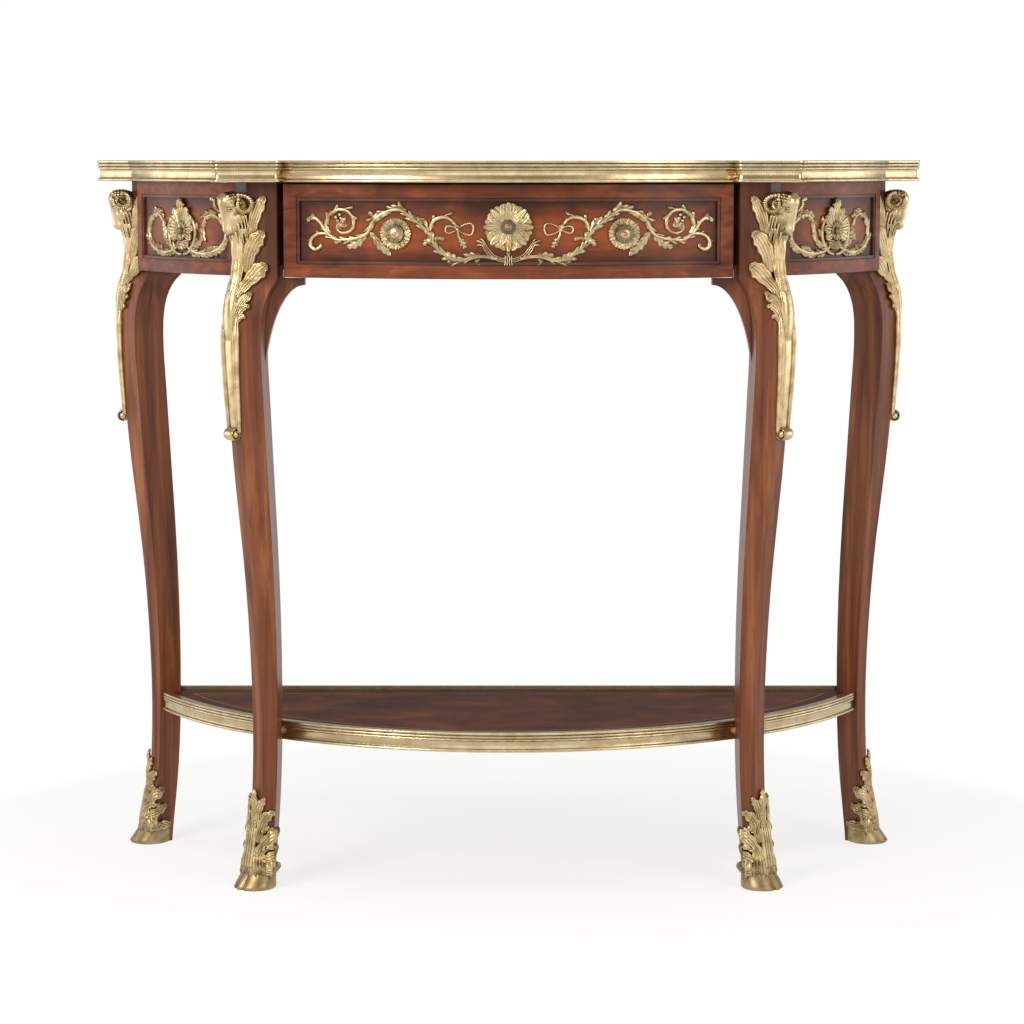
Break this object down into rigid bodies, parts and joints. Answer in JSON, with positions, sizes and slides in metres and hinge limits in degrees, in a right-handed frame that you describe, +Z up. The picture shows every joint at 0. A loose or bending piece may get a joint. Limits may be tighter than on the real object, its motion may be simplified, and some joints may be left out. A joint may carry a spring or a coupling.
{
  "type": "demilune console table",
  "caption": "Bow-fronted half-round console table with a frieze drawer, cabriole legs with gilt ram's-head mounts, a moulded brass edge and a low brass-edged shelf.",
  "frame": {"origin": "on the floor, under the middle of the table's outer box", "axes": "+X to the viewer's right along the straight back edge, -Y to the front of the bow, +Z up"},
  "size_m": [1.0546, 0.428, 0.889],
  "materials": {
    "leg_bronze": "gilt bronze, chased and burnished, dark in the hollows",
    "panel_bronze": "gilt bronze relief, burnished on the high points",
    "brass_pin": "plain drawn brass",
    "top_brass": "polished moulded brass with a milled hollow",
    "shelf_brass": "polished moulded brass with a milled hollow",
    "screw_steel": "plain steel",
    "veneer": "dark figured mahogany veneer, polished",
    "leg_mahogany": "reddish mahogany, polished, dark at the corners",
    "panel_mahogany": "mottled mahogany veneer, polished, dark towards the borders",
    "bead_wood": "dark polished bead",
    "oak": "plain sawn carcase wood"
  },
  "bodies": {
    "carcase": {"apron_dowels": "oak", "back_rail": "oak", "chute_front_left": "leg_bronze", "chute_front_right": "leg_bronze", "chute_rear_left": "leg_bronze", "chute_rear_right": "leg_bronze", "drawer_kicker_left": "oak", "drawer_kicker_right": "oak", "drawer_runner_left": "oak", "drawer_runner_right": "oak", "drawer_stops": "oak", "front_top_rail": "oak", "glue_blocks": "oak", "knee_bracket_left": "leg_mahogany", "knee_bracket_right": "leg_mahogany", "leg_front_left": "leg_mahogany", "leg_front_right": "leg_mahogany", "leg_rear_left": "leg_mahogany", "leg_rear_right": "leg_mahogany", "ram_head_front_left": "leg_bronze", "ram_head_front_right": "leg_bronze", "ram_head_rear_left": "leg_bronze", "ram_head_rear_right": "leg_bronze", "sabot_front_left": "leg_bronze", "sabot_front_right": "leg_bronze", "sabot_rear_left": "leg_bronze", "sabot_rear_right": "leg_bronze", "shelf_band_back": "shelf_brass", "shelf_band_center": "shelf_brass", "shelf_band_left": "shelf_brass", "shelf_band_right": "shelf_brass", "shelf_dowels": "oak", "shelf_panel": "veneer", "side_bead_left": "bead_wood", "side_bead_right": "bead_wood", "side_mount_left": "panel_bronze", "side_mount_right": "panel_bronze", "side_panel_left": "panel_mahogany", "side_panel_right": "panel_mahogany", "top_band_center": "top_brass", "top_band_front_left": "top_brass", "top_band_front_right": "top_brass", "top_band_rear_left": "top_brass", "top_band_rear_right": "top_brass", "top_band_side_left": "top_brass", "top_band_side_right": "top_brass", "top_panel": "veneer", "top_screws": "screw_steel"},
    "drawer": {"drawer_back": "oak", "drawer_bead": "bead_wood", "drawer_bottom": "oak", "drawer_front": "panel_mahogany", "drawer_mount_pins": "brass_pin", "drawer_rosette": "panel_bronze", "drawer_side_left": "oak", "drawer_side_right": "oak", "drawer_spray_left": "panel_bronze", "drawer_spray_right": "panel_bronze"}
  },
  "joints": [
    {"name": "drawer_slide", "type": "slide", "parent": "carcase", "child": "drawer", "axis": [0, -1, 0], "range_m": [0, 0.2]}
  ]
}
